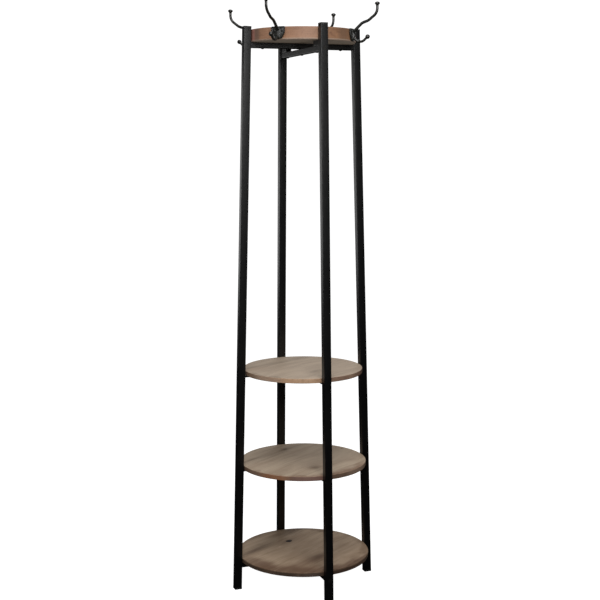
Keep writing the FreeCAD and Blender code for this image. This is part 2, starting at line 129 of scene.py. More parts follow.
def make_camera():
    """Camera a little left of the front leg and above the shelves, placed from the axis and the floor."""
    ahead = Vector((math.sin(CAMERA_AZIMUTH), math.cos(CAMERA_AZIMUTH), 0))
    aside = Vector((math.cos(CAMERA_AZIMUTH), -math.sin(CAMERA_AZIMUTH), 0))
    look = ahead * math.cos(CAMERA_PITCH) - Vector((0, 0, 1)) * math.sin(CAMERA_PITCH)
    up = aside.cross(look)
    right = aside * math.cos(CAMERA_ROLL) + up * math.sin(CAMERA_ROLL)
    up = right.cross(look)
    data = bpy.data.cameras.new("camera")
    data.lens = CAMERA_LENS
    data.sensor_width = CAMERA_SENSOR
    camera = bpy.data.objects.new("camera", data)
    bpy.context.collection.objects.link(camera)
    place = Vector((AXIS.x, AXIS.y, 0)) - ahead * CAMERA_DISTANCE + aside * CAMERA_ASIDE
    place.z = FLOOR + CAMERA_HEIGHT
    turn = Matrix((right, up, -look)).transposed().to_4x4()
    camera.matrix_world = Matrix.Translation(place) @ turn
    bpy.context.scene.camera = camera


# ---- node helpers -------------------------------------------------------------------------------

def add(tree, kind, inputs=None, **settings):
    """New node: settings are its properties, inputs its sockets by name or number, values or links."""
    node = tree.nodes.new(kind)
    for key, value in settings.items():
        setattr(node, key, value)
    for key, value in (inputs or {}).items():
        socket = node.inputs[key]
        if isinstance(value, bpy.types.NodeSocket):
            tree.links.new(value, socket)
        else:
            socket.default_value = value
    return node


def calc(tree, operation, *values):
    return add(tree, "ShaderNodeMath", dict(enumerate(values)), operation=operation).outputs[0]


def times(tree, first, second):
    return calc(tree, "MULTIPLY", first, second)


def between(tree, value, low, high, to_low=0.0, to_high=1.0):
    """Smooth step of a value from low to high."""
    inputs = {"Value": value, "From Min": low, "From Max": high, "To Min": to_low, "To Max": to_high}
    node = add(tree, "ShaderNodeMapRange", inputs, interpolation_type="SMOOTHSTEP")
    return node.outputs["Result"]


def grain(tree, vector, scale, detail=4.0, roughness=0.5):
    """Noise with a number of features per metre."""
    inputs = {"Vector": vector, "Scale": scale, "Detail": detail, "Roughness": roughness}
    return add(tree, "ShaderNodeTexNoise", inputs).outputs["Fac"]


def streaks(tree, vector, sizes, shift=(0.0, 0.0, 0.0), detail=4.0, roughness=0.5):
    """Noise whose features are about these sizes along the three axes, in millimetres."""
    scale = tuple(1 / (size * MM) for size in sizes)
    node = add(tree, "ShaderNodeMapping", {"Vector": vector, "Location": shift, "Scale": scale})
    return grain(tree, node.outputs[0], 1.0, detail, roughness)


def mixed(tree, factor, first, second, mode="MIX"):
    """Colour mix. The node's colours are its inputs 6 and 7 and its output 2."""
    node = add(tree, "ShaderNodeMix", {0: factor, 6: first, 7: second}, data_type="RGBA",
               blend_type=mode)
    return node.outputs[2]


def laid_over(tree, colour, tone, mask, strength):
    """Colour covered by a tone where a mask says, as far as strength goes."""
    return mixed(tree, times(tree, mask, strength), colour, tone)


def tinted(tree, colour, tint, strength):
    """Colour multiplied by a grey factor that goes from 1 to tint with strength."""
    factor = calc(tree, "MULTIPLY_ADD", strength, tint - 1.0, 1.0)
    grey = add(tree, "ShaderNodeCombineColor", {0: factor, 1: factor, 2: factor}).outputs[0]
    return mixed(tree, 1.0, colour, grey, "MULTIPLY")


def srgb(red, green, blue):
    """Linear colour from 0 to 255 screen values."""
    def linear(value):
        value /= 255
        return value / 12.92 if value <= 0.04045 else ((value + 0.055) / 1.055) ** 2.4
    return (linear(red), linear(green), linear(blue), 1.0)


def new_material(name):
    material = bpy.data.materials.new(name)
    material.use_nodes = True
    tree = material.node_tree
    shader = tree.nodes["Principled BSDF"]
    place = add(tree, "ShaderNodeTexCoord").outputs["Object"]
    return material, tree, shader, place


def bump(tree, height, distance, strength=1.0, base=None):
    """Normal bent by a height; base is another bump's normal that this one is laid over."""
    inputs = {"Height": height, "Distance": distance, "Strength": strength}
    if base is not None:
        inputs["Normal"] = base
    return add(tree, "ShaderNodeBump", inputs).outputs["Normal"]


# ---- materials ----------------------------------------------------------------------------------

def powder_coat(name, leg=False):
    """Satin black powder coat: fine orange peel, faint cloudiness and scuffs.

    On a leg the corners are worn and every face is crowned a little, as on rolled tube."""
    material, tree, shader, place = new_material(name)
    peel = grain(tree, place, 1 / (1.6 * MM), detail=2.0)
    cloud = grain(tree, place, 1 / (60 * MM), detail=3.0)
    scuff = between(tree, streaks(tree, place, (3, 3, 40), detail=5.0, roughness=0.7), 0.62, 0.74)
    colour = mixed(tree, cloud, srgb(4, 4, 5), srgb(9, 9, 9))
    colour = laid_over(tree, colour, srgb(38, 37, 36), scuff, 0.3)
    rough = calc(tree, "MULTIPLY_ADD", cloud, 0.1, 0.33)
    rough = calc(tree, "MULTIPLY_ADD", scuff, 0.12, rough)
    base = None
    if leg:
        radial, across = on_leg(tree, place)
        corner = between(tree, calc(tree, "ADD", radial, across), EDGE_START, EDGE_END)
        patch = streaks(tree, place, (12, 12, 30), detail=6.0, roughness=0.75)
        worn = times(tree, corner, between(tree, patch, 0.56, 0.68))
        colour = laid_over(tree, colour, srgb(84, 80, 76), worn, 0.35)
        rough = calc(tree, "MULTIPLY_ADD", worn, -0.05, rough)
        squares = calc(tree, "MULTIPLY_ADD", radial, radial, times(tree, across, across))
        base = bump(tree, times(tree, squares, -FACE_CROWN), 1.0)
    tree.links.new(colour, shader.inputs["Base Color"])
    tree.links.new(rough, shader.inputs["Roughness"])
    tree.links.new(bump(tree, peel, 0.05 * MM, 0.5, base), shader.inputs["Normal"])
    return material


def on_leg(tree, place):
    """Distances from a leg's centreline, radially and sideways. The legs stand on X and Y and lean inward."""
    parts = add(tree, "ShaderNodeSeparateXYZ", {0: place}).outputs
    x = calc(tree, "ABSOLUTE", parts[0])
    y = calc(tree, "ABSOLUTE", parts[1])
    centre = calc(tree, "MULTIPLY_ADD", parts[2], -LEG_SLOPE, FOOT_RADIUS)
    radial = calc(tree, "ABSOLUTE", calc(tree, "SUBTRACT", calc(tree, "MAXIMUM", x, y), centre))
    return radial, calc(tree, "MINIMUM", x, y)


def moulded_plastic(name):
    """Matt black plastic with a fine spark-eroded texture."""
    material, tree, shader, place = new_material(name)
    pits = grain(tree, place, 1 / (0.9 * MM), detail=3.0, roughness=0.6)
    cloud = grain(tree, place, 1 / (14 * MM))
    colour = mixed(tree, cloud, srgb(20, 20, 20), srgb(32, 32, 31))
    tree.links.new(colour, shader.inputs["Base Color"])
    tree.links.new(calc(tree, "MULTIPLY_ADD", pits, 0.2, 0.48), shader.inputs["Roughness"])
    tree.links.new(bump(tree, pits, 0.08 * MM, 0.7), shader.inputs["Normal"])
    return material


def enamelled_iron(name):
    """Glossy black enamel over a cast surface, with thin worn places."""
    material, tree, shader, place = new_material(name)
    cast = grain(tree, place, 1 / (7 * MM), detail=2.0)
    fine = grain(tree, place, 1 / (1.2 * MM), detail=2.0)
    worn = between(tree, grain(tree, place, 1 / (9 * MM), detail=6.0, roughness=0.7), 0.6, 0.7)
    colour = mixed(tree, cast, srgb(20, 20, 18), srgb(36, 36, 31))
    colour = laid_over(tree, colour, srgb(84, 81, 64), worn, 0.55)
    tree.links.new(colour, shader.inputs["Base Color"])
    rough = calc(tree, "MULTIPLY_ADD", fine, 0.06, 0.3)
    tree.links.new(calc(tree, "MULTIPLY_ADD", worn, 0.08, rough), shader.inputs["Roughness"])
    height = calc(tree, "MULTIPLY_ADD", fine, 0.04, cast)
    tree.links.new(bump(tree, height, 0.08 * MM, 0.5), shader.inputs["Normal"])
    shader.inputs["Coat Weight"].default_value = 0.4
    shader.inputs["Coat Roughness"].default_value = 0.2
    return material


def plain_metal(name, dark, light, metallic, rough):
    """Turned or pressed metal of small parts, with tool marks and tarnish."""
    material, tree, shader, place = new_material(name)
    tarnish = grain(tree, place, 1 / (4 * MM), detail=5.0, roughness=0.65)
    marks = streaks(tree, place, (0.6, 0.6, 6), detail=3.0)
    tree.links.new(mixed(tree, tarnish, dark, light), shader.inputs["Base Color"])
    tree.links.new(calc(tree, "MULTIPLY_ADD", marks, 0.2, rough), shader.inputs["Roughness"])
    tree.links.new(bump(tree, marks, 0.05 * MM, 0.5), shader.inputs["Normal"])
    shader.inputs["Metallic"].default_value = metallic
    return material


# ---- wood ---------------------------------------------------------------------------------------

GRAIN_ANGLE = math.radians(33)             # direction of the grain on every board, from +X
GRAIN_WANDER = 60 * MM                     # how far the grain strays sideways
KNOT_STRETCH = 1.25                        # length of a knot along the grain, in widths
SEAM_SOFTNESS = 0.004                      # half width of the step at a seam, as a share of the radius
SEAM_TINT = 0.72                           # share of light that a seam's line keeps
SMUDGE_FRAY = 12 * MM                      # how far a smudge's outline wanders
STAIN_WAVE = 60 * MM                       # how far the inner edge of a rim stain wanders

# Colours are 0 to 255 screen values. Places are millimetres from the axis, azimuths degrees from +X.
# knots: x, y, radius, depth of the hole, share of light its core keeps.
# smudges: x, y, half length along the grain, half width, strength, colour.
# seams: place across the grain as a share of the radius, tone of the plank beyond it.
# edges: stain on the upper face along the rim: azimuth, half width, reach inward, strength, colour.
# patches on the rim, partly the wood's own tone and partly painted light and shade, lighter where the rim
# faces the lights at the left front and darker where it turns away towards +X: azimuth, half width, strength,
# colour.
# worn: how far the upper face's colour comes down over the rim.
# Rim, warm and dark tones get darker from the upper shelf down: partly darker, dirtier wood, partly painted
# shade for the light that falls off towards the floor.
BOARDS = {
    "shelf_upper": {
        "worn": 0.5,
        "pale": (192, 173, 152), "middle": (179, 160, 140), "ring": (156, 138, 118), "dark": (106, 91, 74),
        "warm": (176, 142, 114), "rim": (185, 144, 111), "rim_pale": (201, 167, 136),
        "rim_dark": (102, 72, 54),
        "seams": ((0.51, 0.93), (-0.62, 1.04)),
        "knots": (),
        "smudges": ((-150, 44, 60, 9, 0.5, "dark"), (-60, 86, 70, 26, 0.2, "dark"),
                    (15, -72, 34, 14, 0.45, "dark"), (60, 140, 90, 20, 0.15, "dark"),
                    (-40, -70, 90, 22, 0.3, "pale"), (90, -60, 80, 26, 0.5, "pale"),
                    (-150, 20, 40, 20, 0.3, "warm")),
        "edges": ((-72, 30, 16, 0.6, "pale"), (-150, 20, 10, 0.3, "dark")),
        # rim patches: brightest at the left front, darkest towards +X, largely painted light and shade
        "patches": ((-112, 22, 0.5, (208, 166, 130)), (-72, 14, 0.8, (126, 94, 80)),
                    (-42, 12, 0.8, (106, 72, 56)), (-18, 16, 0.85, (76, 55, 42)),
                    (-148, 14, 0.6, (176, 151, 134)), (-170, 10, 0.5, (112, 92, 78)),
                    (60, 30, 0.4, (140, 106, 82)), (150, 24, 0.4, (150, 118, 92))),
        "seed": 3.7,
    },
    "shelf_middle": {
        "worn": 1.0,
        "pale": (194, 175, 152), "middle": (178, 157, 135), "ring": (154, 133, 112), "dark": (92, 74, 57),
        # rim tones darker than the upper shelf's: partly darker wood, partly painted shade
        "warm": (138, 106, 84), "rim": (116, 88, 72), "rim_pale": (132, 104, 88), "rim_dark": (76, 53, 40),
        "seams": ((0.49, 0.95), (-0.58, 1.04)),
        "knots": ((-12, 130, 6.0, 0.6, 0.6), (158, 74, 3.0, 0.5, 0.4)),
        "smudges": ((-146, 50, 44, 7, 0.6, "dark"), (-90, 70, 60, 26, 0.12, "dark"),
                    (0, -100, 20, 15, 0.6, "dark"), (-98, -96, 30, 10, 0.25, "dark"),
                    (30, 150, 90, 24, 0.2, "dark"), (-12, 130, 22, 12, 0.5, "dark"),
                    (110, 20, 90, 46, 0.7, "pale"), (-30, -60, 100, 20, 0.3, "pale"),
                    (-150, 90, 60, 30, 0.4, "pale"), (-60, -140, 70, 12, 0.3, "warm")),
        "edges": ((-66, 26, 34, 0.8, "warm"), (-104, 16, 12, 0.6, "warm"), (-140, 20, 12, 0.4, "warm")),
        # rim patches: lighter at the left front, darker towards +X, partly painted light and shade
        "patches": ((-104, 16, 0.75, (136, 102, 94)), (-138, 12, 0.75, (166, 110, 74)),
                    (-160, 10, 0.5, (146, 114, 92)), (-74, 9, 0.85, (104, 82, 66)),
                    (-48, 14, 0.7, (150, 128, 110)), (-10, 20, 0.7, (80, 58, 48)),
                    (80, 30, 0.4, (120, 88, 66))),
        "seed": 9.1,
    },
    "shelf_lower": {
        "worn": 3.0,
        "pale": (192, 168, 142), "middle": (175, 150, 125), "ring": (150, 126, 102), "dark": (78, 56, 38),
        # rim tones darkest of the shelves: partly darker wood, partly painted shade
        "warm": (116, 88, 68), "rim": (92, 71, 57), "rim_pale": (104, 83, 67), "rim_dark": (44, 33, 26),
        "seams": ((0.525, 0.92), (-0.5, 0.95)),
        "knots": ((-16, 87, 9.6, 1.6, 0.08), (2, -188, 5.0, 0.6, 0.3)),
        "smudges": ((-150, 38, 60, 10, 0.6, "dark"), (-100, 74, 80, 30, 0.32, "dark"),
                    (21, -80, 34, 18, 0.75, "dark"), (6, -96, 46, 34, 0.5, "warm"),
                    (-57, -128, 110, 22, 0.5, "warm"),
                    (10, 168, 90, 24, 0.6, "dark"), (-16, 87, 40, 20, 0.45, "dark"),
                    (-61, 48, 7, 3, 0.8, "pale"), (130, -20, 70, 40, 0.3, "warm")),
        "edges": ((-124, 34, 74, 0.9, "warm"), (-160, 16, 46, 0.6, "warm"), (-76, 26, 40, 0.85, "warm"),
                  (-66, 30, 14, 0.6, "dark"), (-20, 30, 26, 0.4, "warm"), (90, 60, 24, 0.35, "dark")),
        # rim patches: dark tones, partly painted shade on this lowest shelf
        "patches": ((-92, 8, 0.6, (50, 38, 30)), (-104, 6, 0.7, (86, 72, 64)), (-126, 8, 0.6, (44, 33, 26)),
                    (-156, 10, 0.6, (60, 46, 34)), (-74, 12, 0.7, (60, 42, 32)),
                    (-50, 14, 0.6, (78, 54, 40)), (100, 30, 0.4, (84, 62, 48))),
        "seed": 15.3,
    },
    "top_disc": {
        "worn": 0.5,
        "pale": (160, 125, 101), "middle": (148, 112, 88), "ring": (132, 98, 76), "dark": (88, 61, 46),
        "rim": (140, 103, 77), "rim_pale": (150, 112, 87), "rim_dark": (98, 68, 49),
        "lower_edge": (162, 142, 126), "underside": (196, 180, 160),
        "seams": ((0.7, 0.9), (0.42, 1.06), (0.1, 0.94), (-0.2, 1.05), (-0.48, 0.92), (-0.76, 1.0)),
        "knots": ((62, 38, 7.0, 1.0, 0.2),),
        "smudges": ((-40, -30, 90, 14, 0.3, "dark"), (30, 90, 80, 18, 0.3, "dark"),
                    (70, -60, 60, 12, 0.25, "dark")),
        "edges": ((-100, 60, 12, 0.3, "pale"), (80, 60, 16, 0.3, "dark")),
        # rim patches: lighter at the left front, darker towards +X, partly painted light and shade
        "patches": ((-178, 4, 0.8, (118, 76, 70)), (-171, 3, 0.85, (180, 124, 112)),
                    (-165, 4, 0.85, (123, 99, 87)), (-152, 7, 0.7, (162, 122, 96)),
                    (-128, 14, 0.4, (138, 97, 70)), (-104, 16, 0.5, (152, 117, 95)),
                    (-62, 6, 0.6, (104, 82, 64)), (-52, 5, 0.5, (130, 96, 70)), (-42, 5, 0.6, (96, 68, 48)),
                    (-32, 5, 0.6, (108, 74, 49)), (20, 20, 0.4, (124, 92, 70)),
                    (95, 26, 0.4, (166, 130, 108))),
        "seed": 1.3,
    },
}


def on_grain(x, y):
    """A place on a board, in millimetres, as distances along and across the grain in metres."""
    c, s = math.cos(GRAIN_ANGLE), math.sin(GRAIN_ANGLE)
    return ((x * c + y * s) * MM, (-x * s + y * c) * MM)


def oval(tree, u, v, x, y, half_length, half_width):
    """Square of the distance from a place, in half lengths along the grain and half widths across it."""
    along, across = on_grain(x, y)
    du = times(tree, calc(tree, "SUBTRACT", u, along), 1 / (half_length * MM))
    dv = times(tree, calc(tree, "SUBTRACT", v, across), 1 / (half_width * MM))
    return calc(tree, "ADD", times(tree, du, du), times(tree, dv, dv))


def fade(tree, squared, sharpness=1.0):
    return calc(tree, "EXPONENT", times(tree, squared, -sharpness))


def facing(tree, wood, azimuth, half):
    """Mask of the directions from the axis within about half a width of an azimuth, in degrees."""
    angle = math.radians(azimuth)
    toward = calc(tree, "MULTIPLY_ADD", wood.y, math.sin(angle), times(tree, wood.x, math.cos(angle)))
    toward = calc(tree, "DIVIDE", toward, calc(tree, "MAXIMUM", wood.outward, MM))
    return between(tree, toward, math.cos(math.radians(1.6 * half)), math.cos(math.radians(0.4 * half)))


def bent_grain(tree, u, v, wander, knots):
    """Place across the grain, bent by a wander and round the knots, and the mask of the knots' cores."""
    bent = calc(tree, "MULTIPLY_ADD", calc(tree, "SUBTRACT", wander, 0.5), GRAIN_WANDER, v)
    cores = 0.0
    for x, y, radius, depth, light in knots:
        squared = oval(tree, u, v, x, y, KNOT_STRETCH * radius, radius)
        offset = calc(tree, "SUBTRACT", v, on_grain(x, y)[1])
        pull = times(tree, offset, times(tree, fade(tree, squared, 0.14), 0.85))
        bent = calc(tree, "SUBTRACT", bent, pull)
        cores = calc(tree, "MAXIMUM", cores, between(tree, squared, 1.15, 0.55, 0.0, 1.0 - light))
    return bent, cores


def wood_fields(tree, place, look):
    """Places on a board, plain and along its grain, and the noises that its colours are made from."""
    seed = look["seed"]
    turned = add(tree, "ShaderNodeMapping", {"Vector": place, "Rotation": (0, 0, -GRAIN_ANGLE)}).outputs[0]
    u, v, z = add(tree, "ShaderNodeSeparateXYZ", {0: turned}).outputs
    x, y, level = add(tree, "ShaderNodeSeparateXYZ", {0: place}).outputs
    wander = streaks(tree, turned, (260, 110, 110), (seed, 0, 0), detail=2.0)
    bent, cores = bent_grain(tree, u, v, wander, look["knots"])
    flow = add(tree, "ShaderNodeCombineXYZ", {0: u, 1: bent, 2: z}).outputs[0]
    return SimpleNamespace(
        u=u, v=v, x=x, y=y, level=level, cores=cores,
        outward=calc(tree, "SQRT", calc(tree, "MULTIPLY_ADD", x, x, times(tree, y, y))),
        rings=streaks(tree, flow, (190, 7, 22), (seed, seed, 0), detail=3.0, roughness=0.55),
        broad=streaks(tree, flow, (150, 34, 60), (0, seed, 0), detail=3.0),
        fibres=streaks(tree, flow, (30, 0.9, 2), detail=3.0, roughness=0.7),
        film=streaks(tree, turned, (70, 42, 60), (0, 0, seed)),
        ragged=streaks(tree, flow, (60, 5, 12), (0, 0, seed)),
        layers=streaks(tree, place, (38, 38, 1.5), (seed, 0, 0), detail=5.0, roughness=0.65),
    )


def face_colour(tree, wood, look, radius):
    """Upper face: broad and fine rings, planks, smudges, pores, knots and stains along the rim."""
    pale, middle, ring, dark = (srgb(*look[key]) for key in ("pale", "middle", "ring", "dark"))
    colour = mixed(tree, between(tree, wood.broad, 0.35, 0.65), middle, pale)
    colour = laid_over(tree, colour, ring, between(tree, wood.rings, 0.46, 0.7), 0.46)
    colour = laid_over(tree, colour, ring, between(tree, wood.film, 0.52, 0.75), 0.3)
    for share, tone in look["seams"]:
        seam = share * radius
        soft = math.copysign(SEAM_SOFTNESS * radius, share)
        colour = tinted(tree, colour, tone, between(tree, wood.v, seam - soft, seam + soft))
        line = calc(tree, "ABSOLUTE", calc(tree, "SUBTRACT", wood.v, seam))
        colour = tinted(tree, colour, SEAM_TINT, between(tree, line, 0.7 * MM, 0.25 * MM))
    frayed = calc(tree, "MULTIPLY_ADD", calc(tree, "SUBTRACT", wood.ragged, 0.5), SMUDGE_FRAY, wood.v)
    for x, y, half_length, half_width, strength, tone in look["smudges"]:
        mask = fade(tree, oval(tree, wood.u, frayed, x, y, half_length, half_width))
        mask = times(tree, mask, between(tree, wood.rings, 0.2, 0.6, 0.65, 1.0))
        colour = laid_over(tree, colour, srgb(*look[tone]), mask, strength)
    colour = laid_over(tree, colour, dark, between(tree, wood.fibres, 0.56, 0.72), 0.32)
    colour = tinted(tree, colour, 0.0, wood.cores)
    wavy = calc(tree, "MULTIPLY_ADD", calc(tree, "SUBTRACT", wood.film, 0.5), STAIN_WAVE, wood.outward)
    for azimuth, half, reach, strength, tone in look["edges"]:
        mask = between(tree, wavy, radius - reach * MM, radius - 0.35 * reach * MM)
        mask = times(tree, mask, facing(tree, wood, azimuth, half))
        mask = times(tree, mask, between(tree, wood.rings, 0.2, 0.6, 0.7, 1.0))
        colour = laid_over(tree, colour, srgb(*look[tone]), mask, strength)
    return colour


def rim_colour(tree, wood, look):
    """Rim: two tones in bands, ragged darker streaks, patches by azimuth that are partly painted light and
    shade, pores and thin level layers.
    """
    rim, rim_pale, rim_dark, dark = (srgb(*look[key]) for key in ("rim", "rim_pale", "rim_dark", "dark"))
    colour = mixed(tree, between(tree, wood.broad, 0.35, 0.6), rim, rim_pale)
    colour = laid_over(tree, colour, rim_dark, between(tree, wood.ragged, 0.5, 0.7), 0.6)
    # rim patches: the wood's own tone plus painted light on the side facing the left-front lights and painted
    # shade on the side turned from them
    for azimuth, half, strength, tint in look["patches"]:
        colour = laid_over(tree, colour, srgb(*tint), facing(tree, wood, azimuth, half), strength)
    colour = laid_over(tree, colour, dark, between(tree, wood.fibres, 0.54, 0.7), 0.45)
    return laid_over(tree, colour, rim_dark, between(tree, wood.layers, 0.5, 0.68), 0.4)


def rim_mask(tree, wood, look, radius, top):
    """Where the rim's colours show. The upper face's colour comes down over them raggedly."""
    rim = between(tree, wood.outward, radius - 3.2 * MM, radius - 0.9 * MM)
    ragged_level = calc(tree, "MULTIPLY_ADD", wood.ragged, 3 * MM, wood.level)
    worn_to = top - look["worn"] * MM
    return times(tree, rim, between(tree, ragged_level, worn_to + 2 * MM, worn_to + 1 * MM))


def lower_edge_colour(tree, wood, look, radius, bottom, colour):
    """Low part of a thick board: lighter towards its lower edge, with a pale band along that edge and raw
    wood underneath.
    """
    colour = tinted(tree, colour, 1.1, between(tree, wood.level, bottom + 20 * MM, bottom + 7 * MM))
    # paler band along the lower edge, up to 6 mm high, on the outer 9 mm of the board
    worn = between(tree, wood.level, bottom + 6 * MM, bottom + 3 * MM)
    worn = times(tree, worn, between(tree, wood.outward, radius - 9 * MM, radius - 1.5 * MM))
    colour = laid_over(tree, colour, srgb(*look["lower_edge"]), worn, 0.8)
    below = between(tree, wood.level, bottom + 1.2 * MM, bottom + 0.2 * MM)
    below = times(tree, below, between(tree, wood.outward, radius - 1.5 * MM, radius - 4 * MM))
    return laid_over(tree, colour, srgb(*look["underside"]), below, 0.85)


def stained_wood(node):
    """Weathered, stained board: planks, rings bent round knots, smudges, pores and a warm worn rim whose
    patches carry painted light and shade.
    """
    look = BOARDS[node]
    low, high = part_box(node)
    radius = (high.x - low.x) / 2
    material, tree, shader, place = new_material("wood_" + node)
    wood = wood_fields(tree, place, look)
    rim = rim_mask(tree, wood, look, radius, high.z)
    colour = face_colour(tree, wood, look, radius)
    colour = laid_over(tree, colour, rim_colour(tree, wood, look), rim, 0.9)
    if "lower_edge" in look:
        colour = lower_edge_colour(tree, wood, look, radius, low.z, colour)
    tree.links.new(colour, shader.inputs["Base Color"])
    rough = calc(tree, "MULTIPLY_ADD", wood.film, 0.16, 0.46)
    rough = calc(tree, "MULTIPLY_ADD", rim, -0.05, rough)
    tree.links.new(calc(tree, "MULTIPLY_ADD", wood.fibres, 0.12, rough), shader.inputs["Roughness"])
    shader.inputs["Specular IOR Level"].default_value = 0.4
    height = calc(tree, "MULTIPLY_ADD", wood.rings, 0.5, times(tree, wood.fibres, 0.5))
    tree.links.new(bump(tree, height, 0.3 * MM, 0.6), shader.inputs["Normal"])
    return material


# ---- mesh helpers -------------------------------------------------------------------------------

def new_piece(name, mesh, material, slot, *replaced):
    mesh.name = name
    piece = bpy.data.objects.new(name, mesh)
    bpy.context.collection.objects.link(piece)
    mesh.materials.append(material)
    for polygon in mesh.polygons:
        polygon.use_smooth = True
    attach(piece, "root")
    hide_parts(*replaced)
    return piece


def rounded_path(points, radii, closed, step):
    """Points along straight runs joined by tangent arcs, at most about a step apart."""
    count = len(points)
    result = []
    for i in range(count):
        here = points[i]
        if not closed and i in (0, count - 1):
            result.append(here)
            continue
        before = (points[i - 1] - here).normalized()
        after = (points[(i + 1) % count] - here).normalized()
        half = before.angle(after) / 2
        setback = radii[i] / math.tan(half)
        middle = (before + after).normalized()
        centre = here + middle * (radii[i] / math.sin(half))
        start = here + before * setback - centre
        turn = math.pi - 2 * half
        axis = start.cross(here + after * setback - centre).normalized()
        pieces = max(2, math.ceil(turn * radii[i] / step))
        for k in range(pieces + 1):
            result.append(centre + Matrix.Rotation(turn * k / pieces, 3, axis) @ start)
    ends = result[1:] + result[:1] if closed else result[1:]
    even = []
    for start, end in zip(result, ends):
        parts = max(1, math.ceil((end - start).length / step))
        even += [start.lerp(end, k / parts) for k in range(parts)]
    return even if closed else even + [result[-1]]


def loft(rings):
    """Closed mesh through rings of equally many points, with a fan over the first and last ring."""
    made = bmesh.new()
    rows = [[made.verts.new(point) for point in ring] for ring in rings]
    size = len(rows[0])
    for lower, upper in zip(rows, rows[1:]):
        for k in range(size):
            made.faces.new((lower[k], lower[(k + 1) % size], upper[(k + 1) % size], upper[k]))
    for row, flip in ((rows[0], True), (rows[-1], False)):
        tip = made.verts.new(sum((vert.co for vert in row), Vector()) / size)
        for k in range(size):
            face = (row[k], row[(k + 1) % size], tip)
            made.faces.new(face[::-1] if flip else face)
    bmesh.ops.recalc_face_normals(made, faces=made.faces)
    return made


def finished(made, turn=None):
    mesh = bpy.data.meshes.new("mesh")
    if turn is not None:
        made.transform(turn)
    made.to_mesh(mesh)
    made.free()
    return mesh


def joined(*parts):
    """One bmesh out of several."""
    whole = bmesh.new()
    for part in parts:
        mesh = finished(part)
        whole.from_mesh(mesh)
        bpy.data.meshes.remove(mesh)
    return whole


# ---- boards -------------------------------------------------------------------------------------

EDGE_EASE = 1.5 * MM
DISC_EASE_BELOW = 3.0 * MM
RIM_POINTS = 480                           # points of a ring of a board
EASE_STEPS = 4                             # steps of an eased edge
RIM_STEP = 3 * MM                          # rings stand about this far apart up the rim
RIM_BAND = 4 * MM                          # the rim is pulled in, and the faces up to this far in from it
CORNER_BAND = 5 * MM                       # nicks reach this far from the board's two edges
BROAD_WEAR = 35 * MM                       # sizes of the wear's waves, and of a nick
FINE_WEAR = 9 * MM
NICK_SIZE = 6 * MM
NICK_THRESHOLD = 0.25                      # only noise above this makes a nick
WEAR_DEPTH = 0.25 * MM                     # wear all round the edge
NICK_DEPTH = 0.9 * MM
KNOT_REACH = 2.2                           # part of the face that is made finer, in radii of the knot
KNOT_WALL = 0.35                           # slope from a knot's rim down to its floor, in radii
CRACK_WIDTH = 0.14                         # half width of the crack through a knot, in radii
CRACK_LENGTH = 1.9                         # its half length, in half lengths of the knot
CRACK_DEPTH = 0.6                          # its depth, as a share of the knot's


def board_profile(radius, bottom, top, ease_top, ease_bottom):
    """Distances from the axis and levels: out under the board, up its rim and in over its top."""
    profile = [(radius * k / 12, bottom) for k in (1, 4, 7, 10)]
    turns = [math.pi / 2 * k / EASE_STEPS for k in range(EASE_STEPS + 1)]
    for turn in turns:
        inset = ease_bottom * (1 - math.sin(turn))
        profile.append((radius - inset, bottom + ease_bottom * (1 - math.cos(turn))))
    straight = top - bottom - ease_bottom - ease_top
    steps = max(4, round((top - bottom) / RIM_STEP))
    for k in range(1, steps):
        profile.append((radius, bottom + ease_bottom + straight * k / steps))
    for turn in turns:
        inset = ease_top * (1 - math.cos(turn))
        profile.append((radius - inset, top - ease_top * (1 - math.sin(turn))))
    return profile + [(radius * k / 40, top) for k in (39, 38, 36, 33, 30, 26, 22, 18, 14, 10, 6, 2)]


def board_rings(node, ease_top, ease_bottom):
    """Rings of a round board from the middle of its underside, round the rim, to the middle of its top.

    The edges are eased, and nicked and worn back a little: never past the CAD board."""
    low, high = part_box(node)
    radius = (high.x - low.x) / 2
    angles = [2 * math.pi * k / RIM_POINTS for k in range(RIM_POINTS)]
    return [[worn_point(distance, level, angle, radius, low.z, high.z) for angle in angles]
            for distance, level in board_profile(radius, low.z, high.z, ease_top, ease_bottom)]


def worn_point(distance, level, angle, radius, bottom, top):
    """Point of a board, pulled inward where its edge is nicked or worn."""
    outward = Vector((math.cos(angle), math.sin(angle), 0))
    place = outward * distance + Vector((0, 0, level))
    near_edge = max(0.0, 1 - abs(radius - distance) / RIM_BAND)
    corner = max(0.0, 1 - min(level - bottom, top - level) / CORNER_BAND)
    wear = noise.noise(place / BROAD_WEAR) * 0.5 + noise.noise(place / FINE_WEAR) * 0.5
    nick = max(0.0, noise.noise(place / NICK_SIZE + Vector((7, 3, 1))) - NICK_THRESHOLD)
    depth = WEAR_DEPTH * (1 + wear) / 2 + NICK_DEPTH * corner * (max(0.0, wear) * 0.4 + nick)
    return place - outward * near_edge * depth


